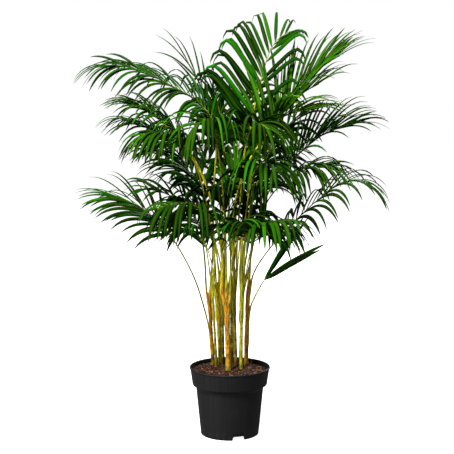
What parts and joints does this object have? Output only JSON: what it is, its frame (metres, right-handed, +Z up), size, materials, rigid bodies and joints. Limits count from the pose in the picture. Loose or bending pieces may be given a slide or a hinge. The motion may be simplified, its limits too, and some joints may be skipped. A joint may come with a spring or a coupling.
{
  "type": "potted palm",
  "caption": "Clump-forming areca palm with ringed canes and arching feather-shaped fronds, rooted in soil in a tapered black plastic nursery pot.",
  "frame": {"origin": "centre of the pot's underside, on the surface it stands on", "axes": "+Z up through the pot's axis, -Y towards the side the plant is normally seen from, +X to that viewer's right"},
  "size_m": [0.9168, 0.7358, 1.2363],
  "materials": {
    "pot_plastic": "matte",
    "soil": "matte",
    "golden_cane": "satin",
    "green_cane": "satin",
    "green_leaf": "satin",
    "dark_leaf": "satin"
  },
  "bodies": {
    "root": {"pot": "pot_plastic", "potting_soil": "soil", "cane_front_centre": "golden_cane", "cane_front_left": "green_cane", "cane_left": "golden_cane", "cane_centre_right": "green_cane", "cane_front_right": "green_cane", "cane_right": "golden_cane", "cane_back_left": "green_cane", "cane_back_centre": "green_cane", "cane_back_right": "green_cane", "cane_left_slender": "green_cane", "frond_upper_left": "green_leaf", "frond_left_big": "green_leaf", "frond_left_mid": "green_leaf", "frond_left_front": "green_leaf", "frond_left_low_long": "green_leaf", "frond_front_left_low": "green_leaf", "frond_front_right_low": "green_leaf", "frond_right_low": "green_leaf", "frond_right_bifid": "dark_leaf", "frond_right_mid": "green_leaf", "frond_right_arch": "green_leaf", "frond_right_yellow": "green_leaf", "frond_top_right": "green_leaf", "frond_top": "green_leaf", "frond_top_front": "green_leaf", "frond_top_back_left": "dark_leaf", "frond_front_centre_left": "green_leaf", "frond_front_centre_right": "green_leaf", "frond_right_front_hang": "green_leaf", "frond_left_low_up": "green_leaf", "frond_left_back_mid": "dark_leaf", "frond_centre_back": "dark_leaf", "frond_right_back_up": "dark_leaf", "frond_back_left": "dark_leaf", "frond_back_right": "dark_leaf", "frond_back_centre": "dark_leaf", "frond_back_low_left": "dark_leaf", "frond_inner_left": "green_leaf", "frond_inner_right": "dark_leaf", "frond_inner_centre": "dark_leaf", "frond_inner_back": "dark_leaf", "frond_low_star": "green_leaf", "frond_centre_hang": "green_leaf", "frond_mid_left_hang": "green_leaf", "frond_mid_right_hang": "green_leaf", "frond_inner_low_left": "green_leaf", "frond_back_low_right": "dark_leaf"}
  },
  "joints": []
}
